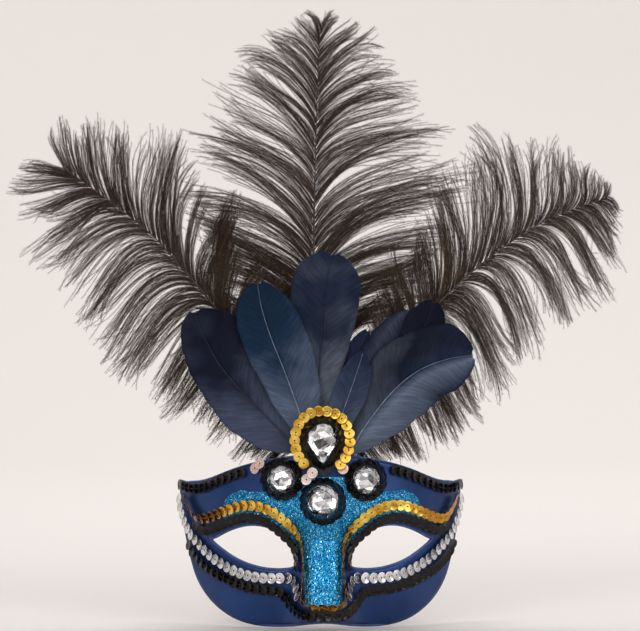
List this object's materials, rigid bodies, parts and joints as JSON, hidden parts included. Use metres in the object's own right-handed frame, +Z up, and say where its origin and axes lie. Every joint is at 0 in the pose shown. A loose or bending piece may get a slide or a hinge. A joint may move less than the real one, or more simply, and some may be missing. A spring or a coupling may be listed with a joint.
{
  "type": "venetian masquerade mask",
  "caption": "Half mask that covers the eyes and nose, with sequin strings, faceted gems and a fan-shaped crest of feathers; a strap through the temples holds it.",
  "frame": {"origin": "inside of the nose bridge, where the mask rests on the wearer's face", "axes": "+X towards the right of someone who looks at the mask's front, -Y out of the front, +Y into the wearer's face, +Z up"},
  "size_m": [0.3386, 0.0758, 0.3347],
  "materials": {
    "shell": "satin navy blue, moulded",
    "glitter": "turquoise glitter in clear lacquer",
    "card": "matt, dark",
    "felt": "black felt",
    "glue": "hot-melt glue, cloudy",
    "gem": "clear, faceted, silver foil on the back",
    "black_sequin": "glossy brown-black",
    "gold_sequin": "metallised gold",
    "silver_sequin": "metallised silver",
    "pale_sequin": "pearly pale pink",
    "goose_navy": "dyed feather, navy blue",
    "goose_teal": "dyed feather, teal blue",
    "goose_dark": "dyed feather, near black",
    "goose_grey": "dyed feather, grey-blue",
    "ostrich": "dyed ostrich barbs, brown-black, loose"
  },
  "bodies": {
    "root": {"mask_shell": "shell", "glitter_coat": "glitter", "crest_card": "card", "crest_felt": "felt", "glue_pads": "glue", "gem_glue_dots": "glue", "left_round_gem": "gem", "right_round_gem": "gem", "oval_gem": "gem", "teardrop_gem": "gem", "left_gem_ring": "black_sequin", "right_gem_ring": "black_sequin", "oval_gem_ring": "black_sequin", "teardrop_black_loop": "black_sequin", "teardrop_gold_loop": "gold_sequin", "gold_brow_trim": "gold_sequin", "left_black_eye_trim": "black_sequin", "right_black_eye_trim": "black_sequin", "left_silver_trim": "silver_sequin", "right_silver_trim": "silver_sequin", "lower_black_trim": "black_sequin", "left_top_trim": "black_sequin", "right_top_trim": "black_sequin", "pale_sequins": "pale_sequin", "goose_left_big": "goose_navy", "goose_left_teal": "goose_teal", "goose_centre": "goose_navy", "goose_centre_back": "goose_dark", "goose_small": "goose_grey", "goose_right_grey": "goose_grey", "goose_right_dark": "goose_dark", "goose_right_big": "goose_navy", "plume_left": "ostrich", "plume_centre": "ostrich", "plume_right": "ostrich"}
  },
  "joints": []
}
